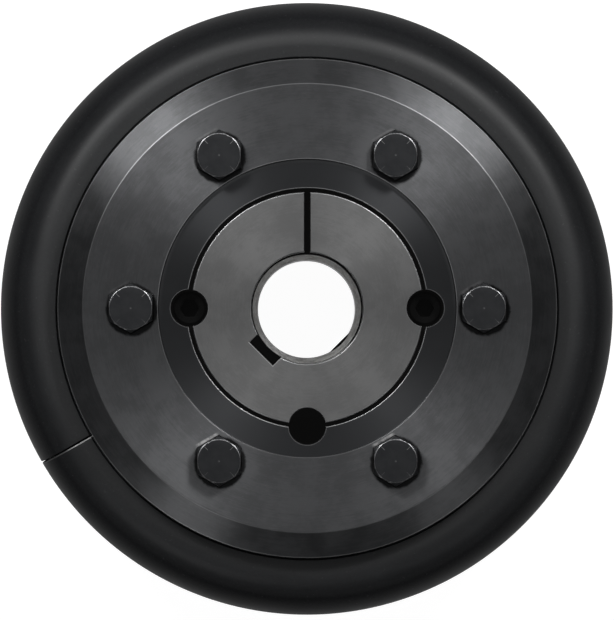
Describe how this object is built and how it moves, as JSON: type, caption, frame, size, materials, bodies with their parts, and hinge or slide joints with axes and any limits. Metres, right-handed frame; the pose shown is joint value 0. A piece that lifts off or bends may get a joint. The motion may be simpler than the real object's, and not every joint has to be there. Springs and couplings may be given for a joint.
{
  "type": "tyre coupling",
  "caption": "Flexible shaft coupling: two flanged hubs, one on a split taper bush, clamp a split rubber tyre between them with hexagon bolts.",
  "frame": {"origin": "on the axis of both shafts, midway between the front and the rear half", "axes": "+Z along the shafts' axis out of the front half, whose large bush end, screws and bolt heads it faces; +Y towards the split of the front bush"},
  "size_m": [0.235, 0.235, 0.1154],
  "materials": {
    "rubber": "matt moulded black rubber",
    "flange_iron": "turned, dark grey, satin",
    "bush_steel": "ground, mid grey, satin",
    "ring_steel": "turned, dark, dull",
    "black_steel": "black oxide"
  },
  "bodies": {
    "root": {"tyre": "rubber", "front_flange": "flange_iron", "rear_flange": "flange_iron", "front_bush": "bush_steel", "front_clamp_ring": "ring_steel", "rear_clamp_ring": "ring_steel", "front_bolt_1": "black_steel", "front_bolt_2": "black_steel", "front_bolt_3": "black_steel", "front_bolt_4": "black_steel", "front_bolt_5": "black_steel", "front_bolt_6": "black_steel", "rear_bolt_1": "black_steel", "rear_bolt_2": "black_steel", "rear_bolt_3": "black_steel", "rear_bolt_4": "black_steel", "rear_bolt_5": "black_steel", "rear_bolt_6": "black_steel", "front_grub_screw_1": "black_steel", "front_grub_screw_2": "black_steel", "rear_set_screw": "black_steel"}
  },
  "joints": []
}
